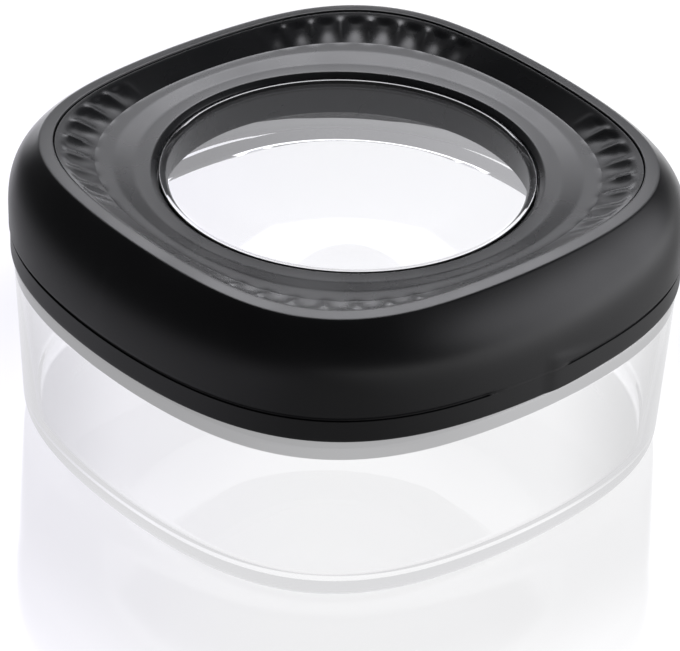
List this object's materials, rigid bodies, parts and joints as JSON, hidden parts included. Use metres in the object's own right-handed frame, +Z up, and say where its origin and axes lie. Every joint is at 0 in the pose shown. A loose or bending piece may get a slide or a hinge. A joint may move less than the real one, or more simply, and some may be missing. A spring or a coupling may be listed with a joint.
{
  "type": "screw-top food container",
  "caption": "Low rounded-square clear food jar with a dark screw lid: fluted dished insert, clear round window and ring seal.",
  "frame": {"origin": "centre of the jar's base, on the surface it stands on", "axes": "+Z up along the screw axis; the four flat sides face +X, -X, +Y and -Y, with the lid's index tab on +X"},
  "size_m": [0.0989, 0.0986, 0.0494],
  "materials": {
    "jar": "clear, polished",
    "lid_shell": "fine satin, black",
    "lid_dish": "satin, dark grey",
    "lid_window": "clear, polished",
    "seal": "matte silicone"
  },
  "bodies": {
    "jar": {"jar": "jar"},
    "seal": {"seal": "seal"},
    "lid": {"lid_shell": "lid_shell", "lid_dish": "lid_dish", "lid_window": "lid_window"}
  },
  "joints": [
    {"name": "lid_rise", "type": "slide", "parent": "jar", "child": "seal", "axis": [0, 0, 1], "range_m": [0, 0.0201]},
    {"name": "lid_turn", "type": "hinge", "parent": "seal", "child": "lid", "pos_m": [0, 0, 0], "axis": [0, 0, 1], "range_deg": [0, 360]}
  ],
  "couplings": [
    {"joint": "lid_rise", "follows": "lid_turn", "m_per_rad": 0.0031831}
  ]
}
